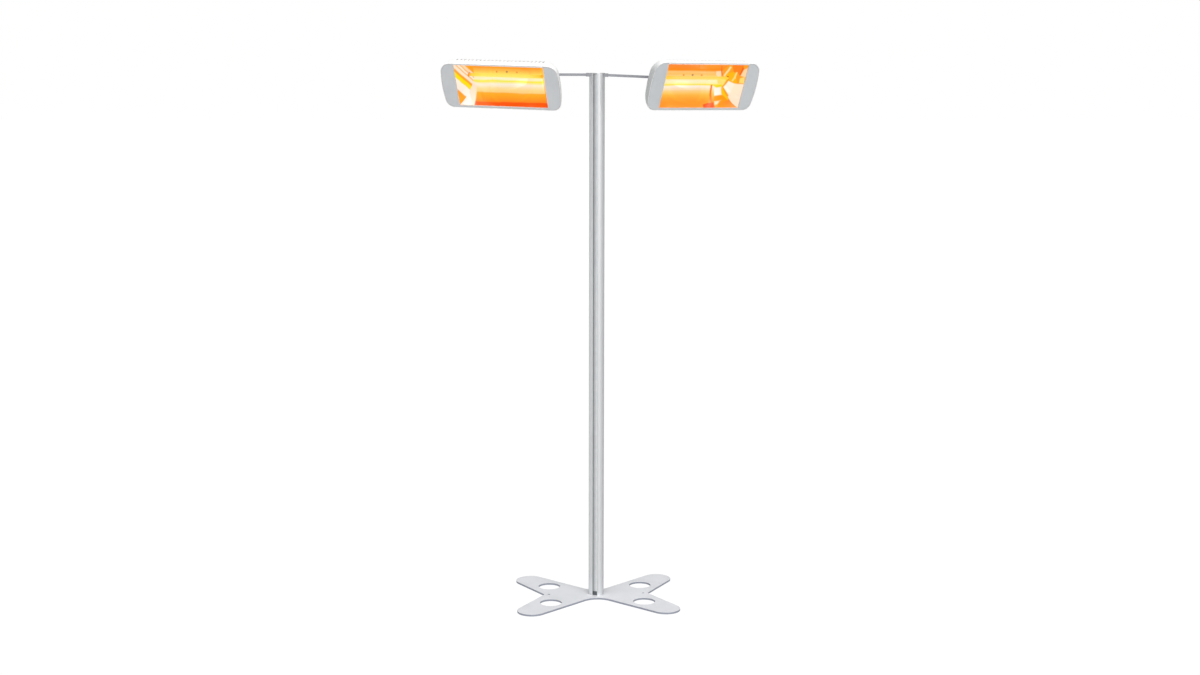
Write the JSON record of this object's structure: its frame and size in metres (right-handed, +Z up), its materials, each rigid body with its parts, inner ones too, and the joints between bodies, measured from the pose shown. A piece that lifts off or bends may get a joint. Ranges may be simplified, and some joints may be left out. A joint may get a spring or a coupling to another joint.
{
  "type": "infrared patio heater tower",
  "caption": "Free-standing infrared patio heater: a cross-shaped foot plate, a round pole and two lamp heads that swivel and tilt on short arms.",
  "frame": {"origin": "middle of the foot plate's underside, on the pole's axis", "axes": "+Z up along the pole, -Y the way the heads face, +X to the right of someone looking at the heads' faces"},
  "size_m": [1.2226, 0.52, 2.1522],
  "materials": {
    "base_steel": "silver-grey powder coat",
    "pole_aluminium": "satin anodised",
    "duct_plastic": "moulded, light",
    "cap_aluminium": "satin anodised",
    "arm_steel": "satin",
    "inner_aluminium": "cast, as machined",
    "fixing_steel": "zinc plated",
    "collar_plastic": "moulded, dark grey",
    "housing_paint": "white powder coat, fine texture",
    "bezel_paint": "silver-grey powder coat",
    "seal_rubber": "matte",
    "mirror_aluminium": "polished, bright rolled",
    "quartz": "clear fused quartz",
    "filament_tungsten": "glowing coil, drawn as a rod",
    "ceramic": "unglazed",
    "bracket_steel": "satin",
    "gland_plastic": "moulded, black"
  },
  "bodies": {
    "stand": {"base_plate": "base_steel", "base_screws": "fixing_steel", "foot_plug": "inner_aluminium", "lower_pole": "pole_aluminium", "lower_cable_duct": "duct_plastic", "pole_joiner": "inner_aluminium", "upper_pole": "pole_aluminium", "upper_cable_duct": "duct_plastic", "pole_screws": "fixing_steel", "crosshead": "inner_aluminium", "arm_screws": "fixing_steel", "top_cap": "cap_aluminium", "cap_screw": "fixing_steel", "arm_collars": "collar_plastic", "left_arm": "arm_steel", "right_arm": "arm_steel", "left_swivel_discs": "collar_plastic", "left_swivel_bolt": "fixing_steel", "left_swivel_nut": "fixing_steel", "right_swivel_discs": "collar_plastic", "right_swivel_bolt": "fixing_steel", "right_swivel_nut": "fixing_steel"},
    "left_swivel_bracket": {"left_tilt_bracket": "bracket_steel", "left_tilt_bolt": "fixing_steel", "left_tilt_nut": "fixing_steel"},
    "left_heater_head": {"left_housing": "housing_paint", "left_bezel": "bezel_paint", "left_bezel_seal": "seal_rubber", "left_bezel_screws": "fixing_steel", "left_reflector": "mirror_aluminium", "left_end_mirrors": "mirror_aluminium", "left_reflector_screws": "fixing_steel", "left_lamp_tube": "quartz", "left_filament": "filament_tungsten", "left_lamp_caps": "ceramic", "left_lamp_holders": "ceramic", "left_holder_brackets": "bracket_steel", "left_terminal_block": "ceramic", "left_tilt_lug": "inner_aluminium", "left_lug_screws": "fixing_steel", "left_cable_gland": "gland_plastic"},
    "right_swivel_bracket": {"right_tilt_bracket": "bracket_steel", "right_tilt_bolt": "fixing_steel", "right_tilt_nut": "fixing_steel"},
    "right_heater_head": {"right_housing": "housing_paint", "right_bezel": "bezel_paint", "right_bezel_seal": "seal_rubber", "right_bezel_screws": "fixing_steel", "right_reflector": "mirror_aluminium", "right_end_mirrors": "mirror_aluminium", "right_reflector_screws": "fixing_steel", "right_lamp_tube": "quartz", "right_filament": "filament_tungsten", "right_lamp_caps": "ceramic", "right_lamp_holders": "ceramic", "right_holder_brackets": "bracket_steel", "right_terminal_block": "ceramic", "right_tilt_lug": "inner_aluminium", "right_lug_screws": "fixing_steel", "right_cable_gland": "gland_plastic"}
  },
  "joints": [
    {"name": "left_swivel", "type": "hinge", "parent": "stand", "child": "left_swivel_bracket", "pos_m": [-0.334, 0, 2.093], "axis": [0.0269, -0.0074, 0.9996], "range_deg": [-44.7, 15.3]},
    {"name": "left_tilt", "type": "hinge", "parent": "left_swivel_bracket", "child": "left_heater_head", "pos_m": [-0.34256, -0.03394, 2.11799], "axis": [0.9642, -0.2638, -0.0279], "range_deg": [-33.1, 26.9]},
    {"name": "right_swivel", "type": "hinge", "parent": "stand", "child": "right_swivel_bracket", "pos_m": [0.3417, 0, 2.07868], "axis": [0.008, 0.0034, 1], "range_deg": [-22.9, 37.1]},
    {"name": "right_tilt", "type": "hinge", "parent": "right_swivel_bracket", "child": "right_heater_head", "pos_m": [0.35552, -0.03216, 2.10368], "axis": [0.9212, 0.3891, -0.0087], "range_deg": [-24.8, 35.2]}
  ]
}
